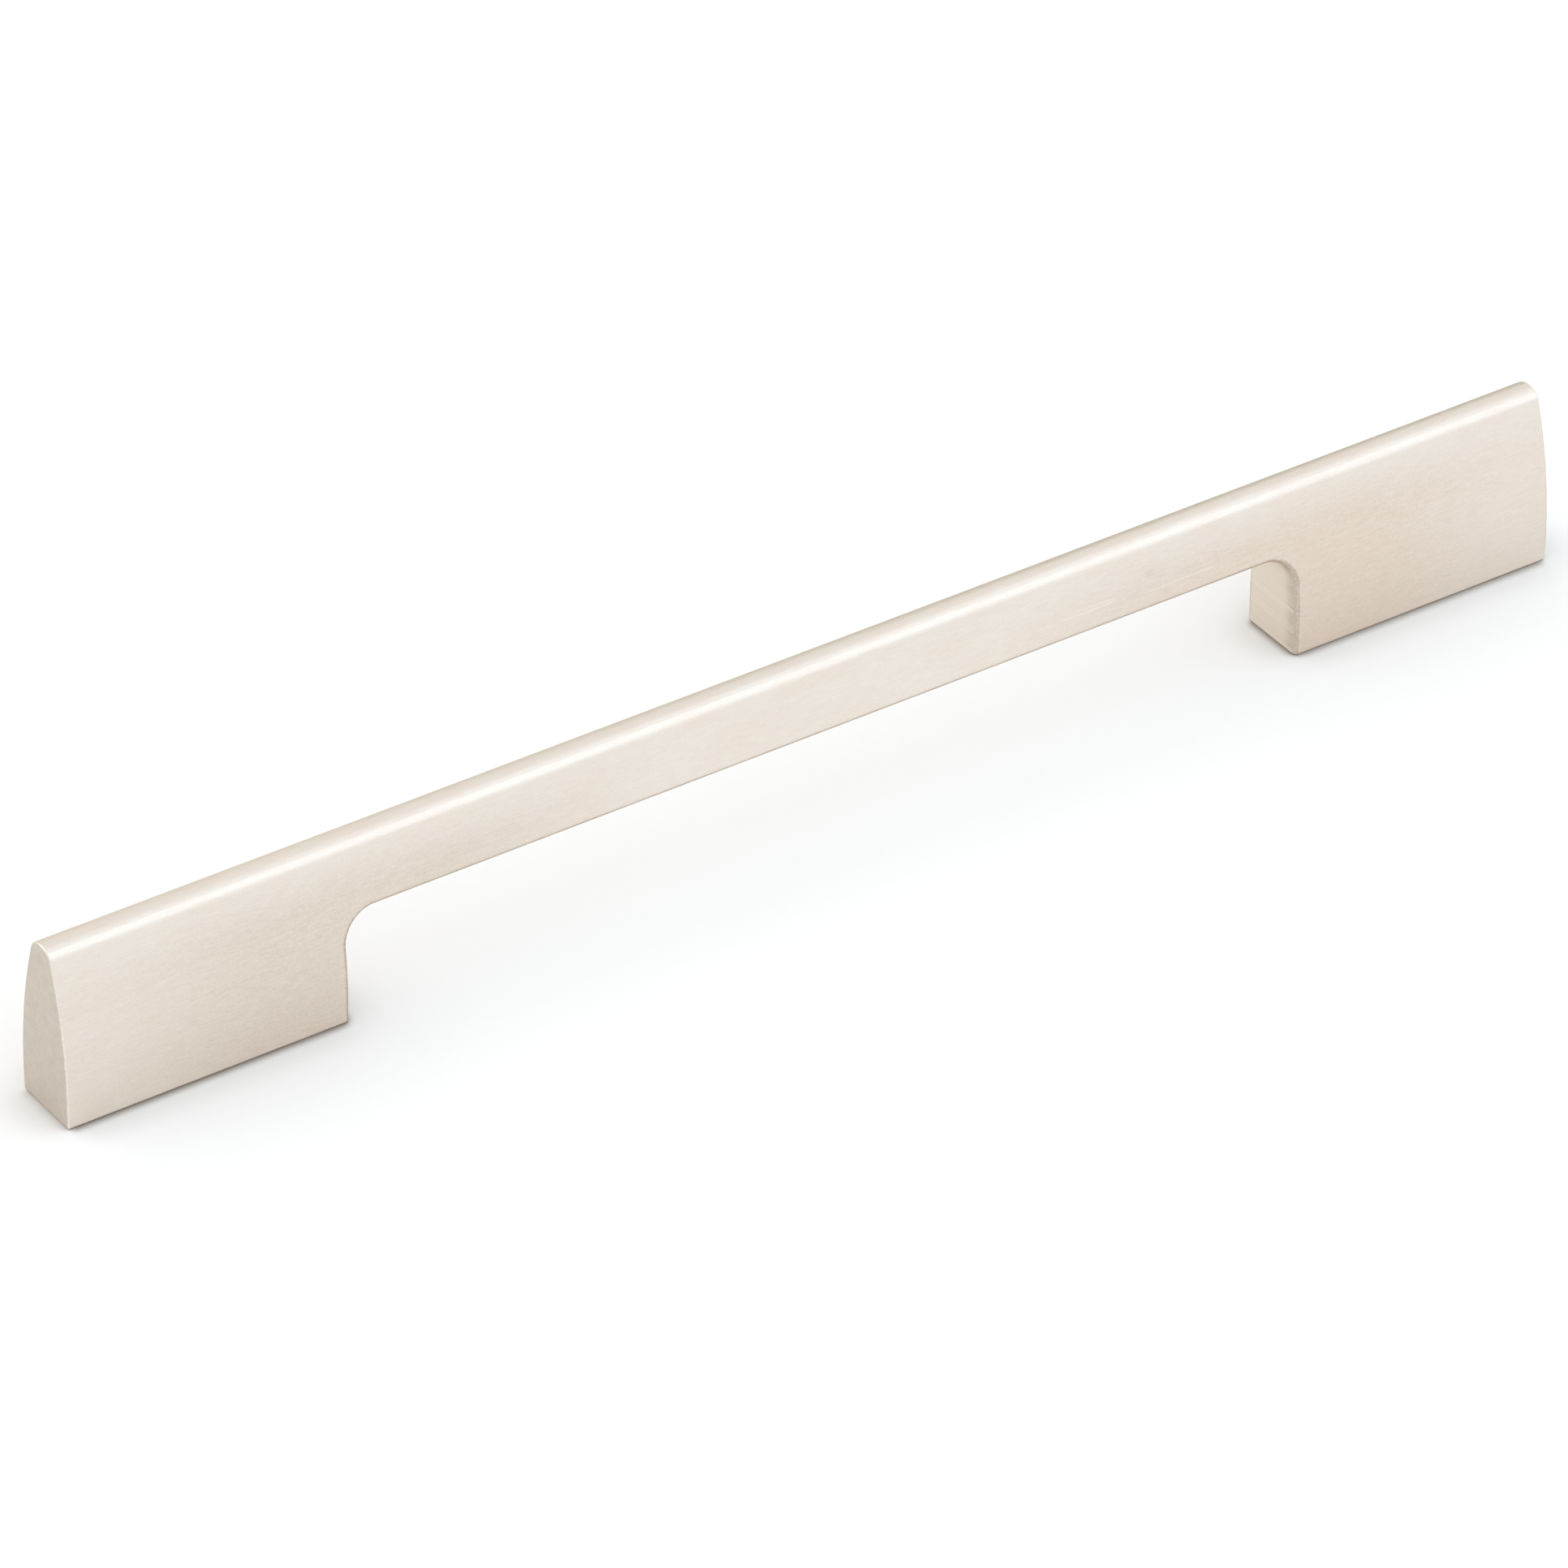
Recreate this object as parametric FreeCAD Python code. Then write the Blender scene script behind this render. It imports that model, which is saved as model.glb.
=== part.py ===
import FreeCAD, Part
import os
from math import radians, sqrt, tan

# One-piece D-shaped pull handle, in millimetres.
# A solid bar of constant section has a finger gap milled through it from front to
# back, which leaves two long feet. Each foot stands on the panel and is fastened
# from behind by a screw in a blind tapped hole.
# X runs along the handle, Y from its front to its back, Z away from the panel.
# The origin lies on the panel, midway between the two screw holes.

# Layout
HOLE_SPACING = 192.0
FOOT_LENGTH = 42.2
HEIGHT = 25.7
GAP_HEIGHT = 15.9
GAP_CORNER_RADIUS = 4.7

# Section of the bar, seen along its length
WIDTH = 11.0
WIDEST_HEIGHT = 4.2
CROWN_WIDTH = 4.4
CROWN_RISE = 0.91
SHOULDER_RADIUS = 1.8

# Rounded edges
END_EDGE_RADIUS = 0.25
GAP_EDGE_RADIUS = 0.8
BASE_EDGE_RADIUS = 0.45

# Blind tapped holes for M4 screws
TAP_DRILL_DIAMETER = 3.3
MOUTH_DIAMETER = 4.4
HOLE_DEPTH = 13.0
DRILL_POINT_ANGLE = 118.0
MOUTH_CHAMFER_ANGLE = 90.0

# How far a cutter runs past the surface it opens
CUTTER_OVERRUN = 2.0

# How near a point lies to a plane to count as on it
ON_PLANE = 1e-4

LENGTH = HOLE_SPACING + FOOT_LENGTH
GAP_LENGTH = HOLE_SPACING - FOOT_LENGTH


def section_face():
    """The bar's section: flat base, bowed sides, soft shoulders and an arched crown."""
    inward = (WIDTH - CROWN_WIDTH) / 2
    upward = HEIGHT - CROWN_RISE - WIDEST_HEIGHT
    side_radius = (inward ** 2 + upward ** 2) / (2 * inward)
    side_centre = FreeCAD.Vector(0, WIDTH / 2 - side_radius, WIDEST_HEIGHT)
    crown_radius = ((CROWN_WIDTH / 2) ** 2 + CROWN_RISE ** 2) / (2 * CROWN_RISE)
    crown_centre = FreeCAD.Vector(0, 0, HEIGHT - crown_radius)

    # The shoulder's arc touches the side's circle and the crown's from inside
    to_side = side_radius - SHOULDER_RADIUS
    to_crown = crown_radius - SHOULDER_RADIUS
    apart = crown_centre - side_centre
    along = (to_side ** 2 - to_crown ** 2 + apart.Length ** 2) / (2 * apart.Length)
    across = sqrt(to_side ** 2 - along ** 2)
    level = apart / apart.Length
    upright = FreeCAD.Vector(0, -level.z, level.y)
    shoulder_centre = side_centre + level * along + upright * across
    side_normal = (shoulder_centre - side_centre) / to_side
    crown_normal = (shoulder_centre - crown_centre) / to_crown
    middle_normal = (side_normal + crown_normal).normalize()

    base_y = side_centre.y + sqrt(side_radius ** 2 - WIDEST_HEIGHT ** 2)
    base = FreeCAD.Vector(0, base_y, 0)
    widest = FreeCAD.Vector(0, WIDTH / 2, WIDEST_HEIGHT)
    side_top = side_centre + side_normal * side_radius
    shoulder = shoulder_centre + middle_normal * SHOULDER_RADIUS
    crown_start = crown_centre + crown_normal * crown_radius
    crown_top = FreeCAD.Vector(0, 0, HEIGHT)
    return Part.Face(Part.Wire([
        Part.makeLine(across_bar(base), base),
        Part.Arc(base, widest, side_top).toShape(),
        Part.Arc(side_top, shoulder, crown_start).toShape(),
        Part.Arc(crown_start, crown_top, across_bar(crown_start)).toShape(),
        Part.Arc(across_bar(crown_start), across_bar(shoulder), across_bar(side_top)).toShape(),
        Part.Arc(across_bar(side_top), across_bar(widest), across_bar(base)).toShape(),
    ]))


def across_bar(point):
    """The same point on the other side of the bar."""
    return FreeCAD.Vector(point.x, -point.y, point.z)


def full_bar():
    """The section drawn out to the full length of the handle."""
    face = section_face()
    face.translate(FreeCAD.Vector(-LENGTH / 2, 0, 0))
    return face.extrude(FreeCAD.Vector(LENGTH, 0, 0))


def finger_gap():
    """The milled opening under the grip, with upper corners as round as the cutter."""
    depth = WIDTH + 2 * CUTTER_OVERRUN
    slot = Part.makeBox(
        GAP_LENGTH, depth, GAP_HEIGHT + CUTTER_OVERRUN,
        FreeCAD.Vector(-GAP_LENGTH / 2, -depth / 2, -CUTTER_OVERRUN))
    corners = [edge for edge in slot.Edges if is_upper_corner(edge)]
    return slot.makeFillet(GAP_CORNER_RADIUS, corners)


def is_upper_corner(edge):
    """True for the slot's two upper edges that run from front to back."""
    ends = [vertex.Point for vertex in edge.Vertexes]
    at_top = all(abs(end.z - GAP_HEIGHT) < ON_PLANE for end in ends)
    return at_top and abs(ends[0].x - ends[1].x) < ON_PLANE


def screw_hole(x):
    """A drilled and countersunk hole in a foot, opening downwards at the panel."""
    drill_radius = TAP_DRILL_DIAMETER / 2
    mouth_radius = MOUTH_DIAMETER / 2
    mouth_slope = tan(radians(MOUTH_CHAMFER_ANGLE / 2))
    chamfer_depth = (mouth_radius - drill_radius) / mouth_slope
    point_height = drill_radius / tan(radians(DRILL_POINT_ANGLE / 2))
    overrun_radius = mouth_radius + CUTTER_OVERRUN * mouth_slope
    outline = [
        FreeCAD.Vector(0, 0, -CUTTER_OVERRUN),
        FreeCAD.Vector(overrun_radius, 0, -CUTTER_OVERRUN),
        FreeCAD.Vector(drill_radius, 0, chamfer_depth),
        FreeCAD.Vector(drill_radius, 0, HOLE_DEPTH),
        FreeCAD.Vector(0, 0, HOLE_DEPTH + point_height),
    ]
    profile = Part.Face(Part.makePolygon(outline + outline[:1]))
    hole = profile.revolve(FreeCAD.Vector(0, 0, 0), FreeCAD.Vector(0, 0, 1), 360)
    hole.translate(FreeCAD.Vector(x, 0, 0))
    return hole


def is_end_edge(edge):
    """True for the outline of either cut end, above the base."""
    at_end = abs(abs(edge.CenterOfMass.x) - LENGTH / 2) < ON_PLANE
    return at_end and edge.CenterOfMass.z > ON_PLANE


def is_gap_edge(edge):
    """True where the gap's walls, corners and roof come out at the front or back."""
    ends = [vertex.Point for vertex in edge.Vertexes]
    inside = all(abs(end.x) < GAP_LENGTH / 2 + ON_PLANE for end in ends)
    one_side = min(end.y for end in ends) * max(end.y for end in ends) > 0
    return inside and one_side and all(end.z < GAP_HEIGHT + ON_PLANE for end in ends)


def is_base_edge(edge):
    """True for the outline of either foot where it stands on the panel."""
    return edge.BoundBox.ZMax < ON_PLANE


def handle():
    """The finished handle as one solid."""
    body = full_bar().cut(finger_gap())
    body = body.makeFillet(GAP_EDGE_RADIUS, [e for e in body.Edges if is_gap_edge(e)])
    body = body.makeFillet(END_EDGE_RADIUS, [e for e in body.Edges if is_end_edge(e)])
    body = body.makeFillet(BASE_EDGE_RADIUS, [e for e in body.Edges if is_base_edge(e)])
    for side in (-1, 1):
        body = body.cut(screw_hole(side * HOLE_SPACING / 2))
    return body.Solids[0]


os.makedirs("parts", exist_ok=True)
handle().exportStep("parts/handle.step")
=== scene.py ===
from math import cos, pi, radians, sin
import bpy
from mathutils import Matrix, Vector


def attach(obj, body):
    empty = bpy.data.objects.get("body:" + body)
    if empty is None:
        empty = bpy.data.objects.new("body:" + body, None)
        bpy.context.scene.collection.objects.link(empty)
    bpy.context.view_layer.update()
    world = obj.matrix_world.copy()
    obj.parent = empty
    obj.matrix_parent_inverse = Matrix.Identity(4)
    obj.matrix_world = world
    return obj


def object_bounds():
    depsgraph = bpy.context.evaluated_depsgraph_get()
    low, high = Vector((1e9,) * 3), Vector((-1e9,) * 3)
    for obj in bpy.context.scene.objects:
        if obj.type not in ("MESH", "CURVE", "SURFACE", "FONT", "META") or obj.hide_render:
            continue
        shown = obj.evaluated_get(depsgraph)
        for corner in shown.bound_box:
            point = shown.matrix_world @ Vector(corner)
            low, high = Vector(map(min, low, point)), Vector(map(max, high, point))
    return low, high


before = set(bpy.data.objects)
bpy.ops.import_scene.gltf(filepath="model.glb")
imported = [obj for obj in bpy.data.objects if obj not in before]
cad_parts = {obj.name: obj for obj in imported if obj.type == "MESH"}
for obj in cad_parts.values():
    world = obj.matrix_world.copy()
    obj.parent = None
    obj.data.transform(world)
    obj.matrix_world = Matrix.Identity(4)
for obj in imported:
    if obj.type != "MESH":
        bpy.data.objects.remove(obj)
cad_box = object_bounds()

# The handle body: a length of extruded bar with the finger gap milled out of it. The
# long faces are brushed from end to end, the gap keeps fine marks that run across it,
# the sawn ends are blasted matt, and the whole handle is plated satin nickel.

MILLIMETRE = 0.001


class Finish:
    """A material under construction: its nodes, and arithmetic on their outputs."""

    def __init__(self, name):
        self.material = bpy.data.materials.new(name)
        self.material.use_nodes = True
        self.tree = self.material.node_tree
        self.tree.nodes.clear()

    def node(self, kind, settings=None, values=None):
        """Adds a node with its settings and socket values, and gives its first output."""
        made = self.tree.nodes.new(kind)
        for key, setting in (settings or {}).items():
            setattr(made, key, setting)
        for key, value in (values or {}).items():
            if isinstance(value, Shade):
                self.tree.links.new(value.socket, made.inputs[key])
            else:
                made.inputs[key].default_value = value
        return Shade(self, made.outputs[0]) if made.outputs else None

    def place(self):
        """The spot on the object, in millimetres from its origin."""
        metres = self.node("ShaderNodeTexCoord").output("Object")
        return self.node("ShaderNodeVectorMath", {"operation": "SCALE"}, {
            "Vector": metres, "Scale": 1 / MILLIMETRE})

    def parts(self, vector):
        """A vector's X, Y and Z."""
        split = self.node("ShaderNodeSeparateXYZ", {}, {"Vector": vector})
        return split.output("X"), split.output("Y"), split.output("Z")

    def grain(self, lengths, detail=2.0, roughness=0.5, turned=(0.0, 0.0, 0.0)):
        """Noise whose grains have the given lengths, in millimetres, along X, Y and Z."""
        scaled = self.node("ShaderNodeMapping", {"vector_type": "TEXTURE"}, {
            "Vector": self.place(), "Rotation": turned, "Scale": lengths})
        return self.node("ShaderNodeTexNoise", {"noise_dimensions": "3D"}, {
            "Vector": scaled, "Scale": 1.0, "Detail": detail, "Roughness": roughness})

    def blend(self, mask, without, within):
        """One colour where the mask is 0, and another where it is 1."""
        mixed = self.node("ShaderNodeMix", {"data_type": "RGBA"}, {0: mask, 6: without, 7: within})
        return mixed.output(2)


class Shade:
    """A node's output. Python's arithmetic on it adds Math nodes to the finish."""

    def __init__(self, finish, socket):
        self.finish = finish
        self.socket = socket

    def output(self, name):
        """Another output of the same node."""
        return Shade(self.finish, self.socket.node.outputs[name])

    def math(self, operation, *values):
        """A Math node on the values."""
        return self.finish.node("ShaderNodeMath", {"operation": operation}, dict(enumerate(values)))

    def __add__(self, other):
        return self.math("ADD", self, other)

    def __sub__(self, other):
        return self.math("SUBTRACT", self, other)

    def __rsub__(self, other):
        return self.math("SUBTRACT", other, self)

    def __mul__(self, other):
        return self.math("MULTIPLY", self, other)

    def __abs__(self):
        return self.math("ABSOLUTE", self)

    def rises(self, low, high):
        """0 below the low value, 1 above the high one, and smooth between them."""
        return self.finish.node("ShaderNodeMapRange", {"interpolation_type": "SMOOTHSTEP"}, {
            "Value": self, "From Min": low, "From Max": high})

    def falls(self, low, high):
        """1 below the low value, 0 above the high one, and smooth between them."""
        return 1 - self.rises(low, high)

    def between(self, start, end):
        """1 between two limits, rising over the first and falling over the second."""
        return self.rises(*start) * self.falls(*end)

    __radd__ = __add__
    __rmul__ = __mul__


NICKEL = (0.785, 0.722, 0.652, 1.0)
NICKEL_WARM = (0.79, 0.70, 0.62, 1.0)
NICKEL_BRIGHT = (0.86, 0.80, 0.735, 1.0)
# Painted shade low on the feet, and the same a little redder for the right foot
NICKEL_FEET_SHADE = (0.68, 0.585, 0.502, 1.0)
NICKEL_FEET_SHADE_RIGHT = (0.715, 0.59, 0.498, 1.0)
# Painted shade along the back of the crown
NICKEL_SHADOWED = (0.54, 0.50, 0.425, 1.0)
NICKEL_SAWN = (0.625, 0.57, 0.522, 1.0)
NICKEL_MILLED = (0.80, 0.725, 0.64, 1.0)
# Painted shade for the gap's rim, the gap's rounded edges and the base's edge; also the dull spot's
# colour
NICKEL_SHADE_AND_SPOT = (0.50, 0.405, 0.335, 1.0)

nickel = Finish("satin_nickel")
place = nickel.place()
x, y, z = nickel.parts(place)
along = abs(x)
turned_x, turned_y, turned_z = nickel.parts(nickel.node("ShaderNodeNewGeometry").output("Normal"))
faces_along = abs(turned_x)
faces_across = abs(turned_y)

# Where each cut lies on the bar: the sawn ends, the milled gap, and the edges of both.
# A pair of values is where one finish starts to give way to another, and where it has.
# Ends, bottoms and tops are places in millimetres. Faces, walls and the starts and stops
# of an edge say how far the surface is turned, from 0 to 1, or below 0 where it looks down.
END_REACH = 1.5
END_FACE = (0.6, 0.95)
END_EDGE_START = (0.1, 0.5)
END_EDGE_STOP = (0.7, 0.98)
GAP_ENDS = (78.0, 80.0)
GAP_BOTTOM = (0.0, 0.3)
GAP_TOP = (16.5, 17.0)
GAP_WALL = (0.15, 0.6)
GAP_EDGE_START = (0.05, 0.6)
GAP_EDGE_STOP = (0.965, 0.985)
BASE_EDGE_START = (-0.98, -0.9)
BASE_EDGE_STOP = (-0.35, -0.12)
BASE_EDGE_TOP = (0.35, 0.5)

half_length = cad_box[1][0] / MILLIMETRE
near_end = along.rises(half_length - END_REACH, half_length)
sawn = near_end * faces_along.rises(*END_FACE)
in_gap = along.falls(*GAP_ENDS) * z.between(GAP_BOTTOM, GAP_TOP)
milled = in_gap * faces_across.falls(*GAP_WALL)
brushed = 1 - sawn - milled
# Painted highlight along the rounded edges of the sawn ends
end_edge_highlight = near_end * faces_along.between(END_EDGE_START, END_EDGE_STOP)
# Painted shade along the gap's rounded edges and along the base's edge
gap_edge_shade = in_gap * faces_across.between(GAP_EDGE_START, GAP_EDGE_STOP)
base_edge_shade = turned_z.between(BASE_EDGE_START, BASE_EDGE_STOP) * z.falls(*BASE_EDGE_TOP)

# Painted shade low on the feet beside each gap corner, a little redder towards the right end
FEET_SHADE_START = (22.0, 64.0)
FEET_SHADE_STOP = (84.0, 114.0)
FEET_SHADE_TOP = (18.0, 25.0)
FEET_SHADE_FADE = 0.7
FEET_SHADE_AMOUNT = 0.9
FEET_SHADE_RIGHTWARD = (0.0, 80.0)

less_outward = 1 - along.rises(*FEET_SHADE_STOP) * FEET_SHADE_FADE
painted_feet_shade = brushed * along.rises(*FEET_SHADE_START) * less_outward * z.falls(*FEET_SHADE_TOP)
feet_shade_colour = nickel.blend(x.rises(*FEET_SHADE_RIGHTWARD), NICKEL_FEET_SHADE, NICKEL_FEET_SHADE_RIGHT)

# Painted shade along the back of the crown, more so towards the right end
CROWN_BACK_START = (-0.05, 0.4)
CROWN_BACK_STOP = (0.75, 0.95)
SHADOW_START = (-110.0, 80.0)

shadowed = brushed * turned_y.between(CROWN_BACK_START, CROWN_BACK_STOP) * x.rises(*SHADOW_START)

# Painted shade beside the front of the gap's rim. The bow is how far the
# side has leaned in at each height above its widest.
WIDEST_HEIGHT = 4.2
SIDE_RADIUS = 65.9
RIM_REACH = (2.4, 4.8)
RIM_AMOUNT = 0.6

above_widest = z - WIDEST_HEIGHT
bow = above_widest * above_widest * (0.5 / SIDE_RADIUS)
rim_shade = milled * (bow - y).rises(*RIM_REACH)

# Three fine scratches and a small dull spot on the front of the grip. A scratch is where
# it starts and ends along the handle, and how high it lies at each of the two.
SCRATCHES = [(37.3, 45.9, 19.0, 19.0), (39.6, 46.5, 19.55, 19.4), (50.8, 62.1, 18.6, 18.6)]
SCRATCH_WIDTH = 0.16
SCRATCH_FADE = 1.0
SCRATCH_BRIGHTNESS = 0.5
FRONT_FACE = (-0.95, -0.9)
DULL_SPOT = (51.8, -3.3, 21.1)
SPOT_RADIUS = 1.2
SPOT_AMOUNT = 0.25


def scratch(start, end, start_height, end_height):
    """1 along the middle of one straight scratch, and 0 away from it."""
    slope = (end_height - start_height) / (end - start)
    off_line = abs(z - x * slope - (start_height - start * slope))
    start_fade = (start - SCRATCH_FADE, start + SCRATCH_FADE)
    end_fade = (end - SCRATCH_FADE, end + SCRATCH_FADE)
    return off_line.falls(0, SCRATCH_WIDTH) * x.between(start_fade, end_fade)


scratched = sum(scratch(*line) for line in SCRATCHES) * turned_y.falls(*FRONT_FACE)
off_spot = nickel.node("ShaderNodeVectorMath", {"operation": "DISTANCE"}, {0: place, 1: DULL_SPOT})
spotted = off_spot.output("Value").falls(0, SPOT_RADIUS)

# Fine lines, broad streaks and soft patches along the long faces
lines = nickel.grain((2.2, 0.22, 0.22), 2.0, 0.6)
streaks = nickel.grain((22.0, 0.9, 0.9))
patches = nickel.grain((9.0, 5.0, 5.0), 4.0, 0.6)

# Marks of the cutter across the gap, and the blasted grain of the ends
MARK_TILT = radians(2.0)

marks = nickel.grain((0.3, 20.0, 0.3), 2.0, 0.6, (MARK_TILT, 0.0, 0.0))
rubbed = nickel.grain((1.3, 30.0, 1.3), 2.0, 0.5, (MARK_TILT, 0.0, 0.0))
blasting = nickel.grain((0.3, 0.3, 0.3), 2.0, 0.6)
mottling = nickel.grain((1.6, 1.6, 1.6), 3.0, 0.6)

# The colour: the plating and its painted shade, with the cuts laid over it
PATCH_CONTRAST = (0.4, 0.62)

colour = nickel.blend(patches.rises(*PATCH_CONTRAST), NICKEL, NICKEL_WARM)
# Painted shade low on the feet
colour = nickel.blend(painted_feet_shade * FEET_SHADE_AMOUNT, colour, feet_shade_colour)
# Painted shade along the back of the crown
colour = nickel.blend(shadowed, colour, NICKEL_SHADOWED)
colour = nickel.blend(sawn, colour, NICKEL_SAWN)
colour = nickel.blend(milled, colour, NICKEL_MILLED)
# Painted shade beside the front of the gap's rim
colour = nickel.blend(rim_shade * RIM_AMOUNT, colour, NICKEL_SHADE_AND_SPOT)
# Painted shade along the gap's rounded edges and the base's edge, and the dull spot
colour = nickel.blend(gap_edge_shade + base_edge_shade + spotted * SPOT_AMOUNT, colour, NICKEL_SHADE_AND_SPOT)

# Bright metal on the tops of the grain and in the scratches, and a painted highlight along the cut
# ends' edges
GRAIN_CONTRAST = (0.3, 0.7)
RUBBED_CONTRAST = (0.5, 0.75)
EDGE_CONTRAST = (0.35, 0.65)
LINE_BRIGHTNESS = 0.35
LINE_FADE_IN_SHADE = 0.1
SPECKLE_BRIGHTNESS = 0.25
RUBBED_BRIGHTNESS = 0.5
MARK_BRIGHTNESS = 0.3
MOTTLE_BRIGHTNESS = 0.15
BLAST_BRIGHTNESS = 0.2
EDGE_BRIGHTNESS = 0.2
EDGE_GRAIN = 0.5

specks = blasting.rises(*GRAIN_CONTRAST)
bright_lines = lines.rises(*GRAIN_CONTRAST) * (LINE_BRIGHTNESS - painted_feet_shade * LINE_FADE_IN_SHADE)
bright_rubs = rubbed.rises(*RUBBED_CONTRAST) * RUBBED_BRIGHTNESS
bright_marks = marks.rises(*GRAIN_CONTRAST) * MARK_BRIGHTNESS
bright_ends = mottling.rises(*GRAIN_CONTRAST) * MOTTLE_BRIGHTNESS + specks * BLAST_BRIGHTNESS
edge_highlight = EDGE_BRIGHTNESS + blasting.rises(*EDGE_CONTRAST) * EDGE_GRAIN
bright = (
    brushed * (bright_lines + specks * SPECKLE_BRIGHTNESS)
    + milled * (1 - gap_edge_shade) * (bright_rubs + bright_marks)
    + sawn * bright_ends
    + end_edge_highlight * edge_highlight
    + scratched * SCRATCH_BRIGHTNESS)
colour = nickel.blend(bright, colour, NICKEL_BRIGHT)

# The gloss and the relief of the grain, and the warmer tint of the metal seen edge on
GRAZING_TINT = (0.74, 0.685, 0.53, 1.0)
SATIN_ROUGHNESS = 0.42
CUT_ROUGHNESS = 0.5
STREAK_ROUGHNESS = 0.12
LINE_RELIEF = 0.5
STREAK_RELIEF = 0.1
SPECKLE_RELIEF = 0.2
BLAST_RELIEF = 0.5
RELIEF_STRENGTH = 0.45
RELIEF_DEPTH = 0.015

uneven = (streaks - 0.5) * STREAK_ROUGHNESS
roughness = SATIN_ROUGHNESS * brushed + CUT_ROUGHNESS * (sawn + milled) + uneven
brushed_relief = lines * LINE_RELIEF + streaks * STREAK_RELIEF + blasting * SPECKLE_RELIEF
relief = brushed * brushed_relief + milled * marks + sawn * blasting * BLAST_RELIEF
bump = nickel.node("ShaderNodeBump", {}, {
    "Strength": RELIEF_STRENGTH, "Distance": RELIEF_DEPTH * MILLIMETRE, "Height": relief})
surface = nickel.node("ShaderNodeBsdfPrincipled", {}, {
    "Base Color": colour, "Metallic": 1.0, "Roughness": roughness,
    "Specular Tint": GRAZING_TINT, "Normal": bump})
nickel.node("ShaderNodeOutputMaterial", {}, {"Surface": surface})

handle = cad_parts["handle"]
handle.data.materials.clear()
handle.data.materials.append(nickel.material)

# The screw threads: one fine helical ridge in each blind hole under the feet, left by
# the tap. It is bare metal, brighter than the plating round it.

HOLE_X = 96.0
BORE_RADIUS = 1.65
THREAD_PITCH = 0.7
THREAD_DEPTH = 0.2
THREAD_SINK = 0.01
THREAD_START = 0.9
THREAD_END = 11.5
RIDGE_FOOT = 0.27
RIDGE_CREST = 0.06
STEPS_PER_TURN = 40
TAPPED_DARK = (0.72, 0.71, 0.70, 1.0)
TAPPED_LIGHT = (0.86, 0.85, 0.83, 1.0)
TAPPED_ROUGHNESS = 0.3
CHATTER_ROUGHNESS = 0.15
CHATTER_STRENGTH = 0.5
CHATTER_DEPTH = 0.01

tapped = Finish("tapped_metal")
chatter = tapped.grain((0.5, 0.5, 0.08))
tapped_bump = tapped.node("ShaderNodeBump", {}, {
    "Strength": CHATTER_STRENGTH, "Distance": CHATTER_DEPTH * MILLIMETRE, "Height": chatter})
tapped_surface = tapped.node("ShaderNodeBsdfPrincipled", {}, {
    "Base Color": tapped.blend(chatter, TAPPED_DARK, TAPPED_LIGHT), "Metallic": 1.0,
    "Roughness": TAPPED_ROUGHNESS + chatter * CHATTER_ROUGHNESS, "Normal": tapped_bump})
tapped.node("ShaderNodeOutputMaterial", {}, {"Surface": tapped_surface})


def thread(name, hole_x):
    """A helical ridge on the wall of one hole, with a closed trapezoidal section."""
    section = [(BORE_RADIUS + THREAD_SINK, -RIDGE_FOOT), (BORE_RADIUS - THREAD_DEPTH, -RIDGE_CREST),
               (BORE_RADIUS - THREAD_DEPTH, RIDGE_CREST), (BORE_RADIUS + THREAD_SINK, RIDGE_FOOT)]
    steps = round((THREAD_END - THREAD_START) / THREAD_PITCH * STEPS_PER_TURN)
    points = []
    for step in range(steps + 1):
        turn = 2 * pi * step / STEPS_PER_TURN
        rise = THREAD_START + THREAD_PITCH * step / STEPS_PER_TURN
        points += [Vector((hole_x + radius * cos(turn), radius * sin(turn), rise + lift)) * MILLIMETRE
                   for radius, lift in section]
    sides = len(section)
    faces = []
    for step in range(steps):
        near = step * sides
        far = near + sides
        faces += [
            (near + k, near + (k + 1) % sides, far + (k + 1) % sides, far + k) for k in range(sides)]
    faces += [tuple(range(sides))[::-1], tuple(range(steps * sides, (steps + 1) * sides))]
    mesh = bpy.data.meshes.new(name)
    mesh.from_pydata(points, [], faces)
    mesh.materials.append(tapped.material)
    ridge = bpy.data.objects.new(name, mesh)
    bpy.context.scene.collection.objects.link(ridge)
    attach(ridge, "root")


thread("left_thread", -HOLE_X)
thread("right_thread", HOLE_X)

# The floor: a plain white sheet under the feet. It keeps the soft shadow, and to the camera
# it has painted shade near the feet, darkest in the crease where they stand on it.

FLOOR_SIZE = 6.0
PAPER = (0.925, 0.924, 0.917, 1.0)
# Painted shade near the feet and in the crease under them, seen only by the camera
PAPER_SHADE = (0.68, 0.68, 0.68, 1.0)
PAPER_CREASE_SHADE = (0.36, 0.325, 0.295, 1.0)
SHADE_REACH = 6.0
CREASE_REACH = 1.9
CREASE_CONTRAST = (0.45, 0.9)
AO_SAMPLES = 8
PAST_BACK = (4.0, 5.5)
OPEN_SIDE_FADE = 0.7
RIGHT_FOOT = (-60.0, 60.0)
RIGHT_FOOT_FADE = 0.2

half = FLOOR_SIZE / 2
corners = [(-half, -half, 0), (half, -half, 0), (half, half, 0), (-half, half, 0)]
floor_mesh = bpy.data.meshes.new("floor")
floor_mesh.from_pydata(corners, [], [(0, 1, 2, 3)])
floor = bpy.data.objects.new("floor", floor_mesh)
bpy.context.scene.collection.objects.link(floor)

paper = Finish("white_paper")


def open_around(reach):
    """How open the floor is within a reach in millimetres: 1 far from the feet."""
    occlusion = paper.node("ShaderNodeAmbientOcclusion", {"samples": AO_SAMPLES}, {
        "Distance": reach * MILLIMETRE})
    return occlusion.output("AO")


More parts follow.
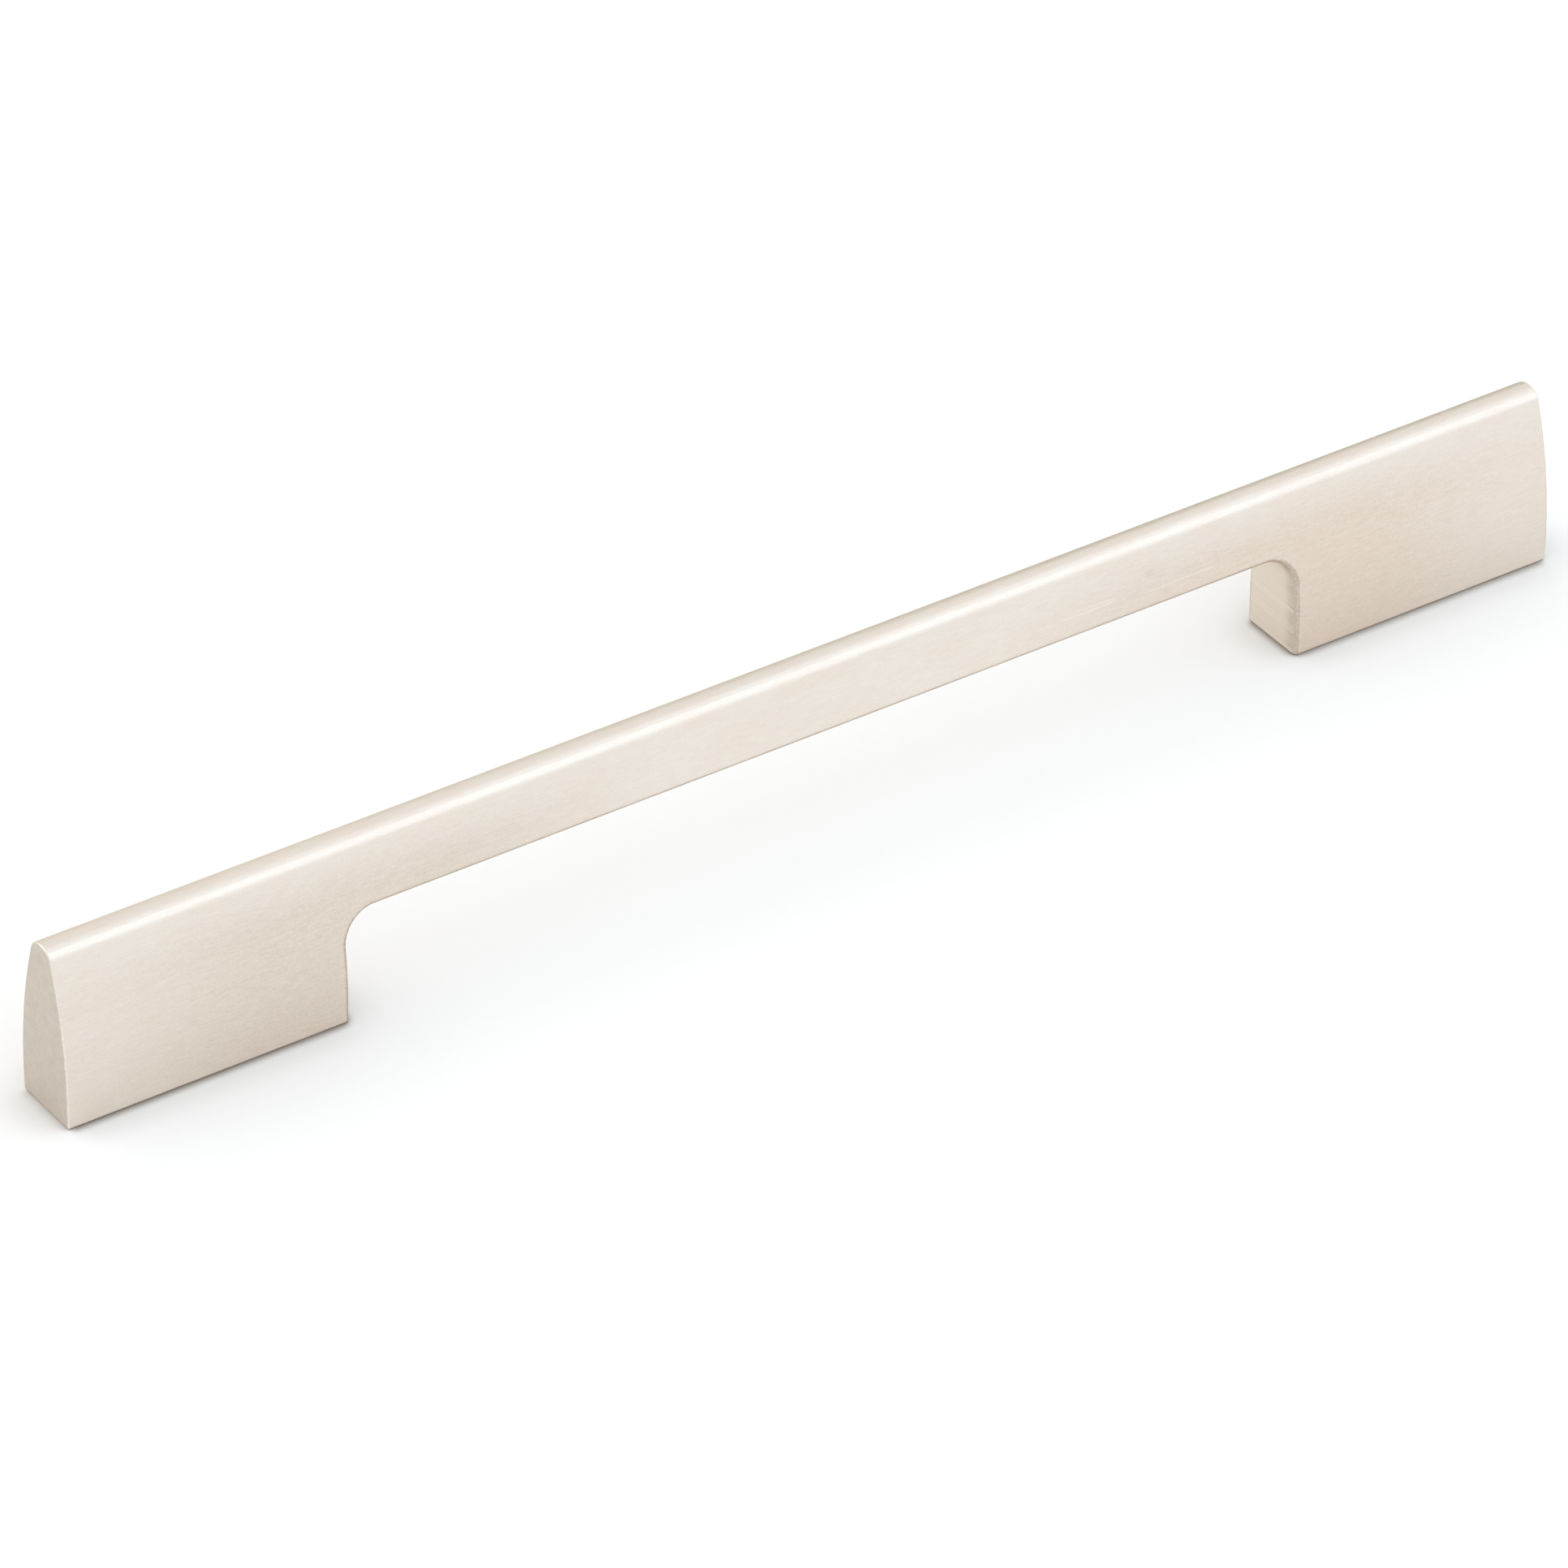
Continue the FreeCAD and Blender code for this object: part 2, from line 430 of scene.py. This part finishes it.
# The painted crease shade fades past the ends and behind the handle, where light reaches
# the crease, and is a little weaker under the right foot
floor_x, floor_y = paper.parts(paper.place())[:2]
past_end = abs(floor_x).rises(half_length - END_REACH, half_length) * OPEN_SIDE_FADE
past_back = floor_y.rises(*PAST_BACK) * OPEN_SIDE_FADE
weaker = floor_x.rises(*RIGHT_FOOT) * RIGHT_FOOT_FADE
# Painted shade from how closed in the floor is by the feet
beside_foot = open_around(CREASE_REACH).falls(*CREASE_CONTRAST)
crease_shade = beside_foot * (1 - past_end) * (1 - past_back) * (1 - weaker)
shaded = paper.blend(open_around(SHADE_REACH), PAPER_SHADE, PAPER)
with_crease_shade = paper.blend(crease_shade, shaded, PAPER_CREASE_SHADE)
seen = paper.node("ShaderNodeLightPath").output("Is Camera Ray")
sheet = paper.node("ShaderNodeBsdfPrincipled", {}, {
    "Base Color": paper.blend(seen, PAPER, with_crease_shade), "Roughness": 1.0, "Specular IOR Level": 0.0})
paper.node("ShaderNodeOutputMaterial", {}, {"Surface": sheet})
floor_mesh.materials.append(paper.material)

# The studio: a white room, a broad soft lamp above the front of the handle that draws
# the bright line along its shoulder, and a smaller one behind that casts the shadow.

ROOM_LEVEL = 0.96

world = bpy.data.worlds.new("studio")
bpy.context.scene.world = world
world.use_nodes = True
room = world.node_tree.nodes["Background"]
room.inputs["Color"].default_value = (1.0, 1.0, 1.0, 1.0)
room.inputs["Strength"].default_value = ROOM_LEVEL


def soft_lamp(name, position, width, depth, watts, colour):
    """A rectangular soft lamp, turned to face the handle."""
    light = bpy.data.lights.new(name, "AREA")
    light.shape = "RECTANGLE"
    light.size = width
    light.size_y = depth
    light.energy = watts
    light.color = colour
    lamp = bpy.data.objects.new(name, light)
    lamp.location = position
    lamp.rotation_euler = (-Vector(position)).to_track_quat("-Z", "Y").to_euler()
    bpy.context.scene.collection.objects.link(lamp)


soft_lamp(
    "overhead_lamp", position=(0.38, -0.50, 0.74), width=1.3, depth=1.2, watts=2.7,
    colour=(0.655, 0.845, 1.0))
soft_lamp(
    "back_lamp", position=(-0.62, 0.60, 0.90), width=1.0, depth=0.9, watts=2.3,
    colour=(1.0, 0.94, 0.87))

# The camera: a long lens above and to the left of the handle's front. Its place is given
# in metres along its own directions, which are right, up and away from the handle.

CAMERA_AZIMUTH = radians(34.385)
CAMERA_ELEVATION = radians(35.028)
CAMERA_ROLL = radians(0.473)
CAMERA_DISTANCE = 1.4844
CAMERA_RIGHT = -0.003471
CAMERA_UP = 0.00415
LENS_PER_SENSOR = 7.1996
SENSOR = 36.0

away = Vector((sin(CAMERA_AZIMUTH), cos(CAMERA_AZIMUTH), 0))
level_right = Vector((cos(CAMERA_AZIMUTH), -sin(CAMERA_AZIMUTH), 0))
forward = away * cos(CAMERA_ELEVATION) - Vector((0, 0, sin(CAMERA_ELEVATION)))
level_up = away * sin(CAMERA_ELEVATION) + Vector((0, 0, cos(CAMERA_ELEVATION)))
right = level_right * cos(CAMERA_ROLL) + level_up * sin(CAMERA_ROLL)
up = level_up * cos(CAMERA_ROLL) - level_right * sin(CAMERA_ROLL)

lens = bpy.data.cameras.new("camera")
lens.sensor_width = SENSOR
lens.lens = LENS_PER_SENSOR * SENSOR
camera = bpy.data.objects.new("camera", lens)
position = right * CAMERA_RIGHT + up * CAMERA_UP - forward * CAMERA_DISTANCE
camera.matrix_world = Matrix.Translation(position) @ Matrix((right, up, -forward)).transposed().to_4x4()
bpy.context.scene.collection.objects.link(camera)
bpy.context.scene.camera = camera
bpy.context.scene.view_settings.view_transform = "Standard"
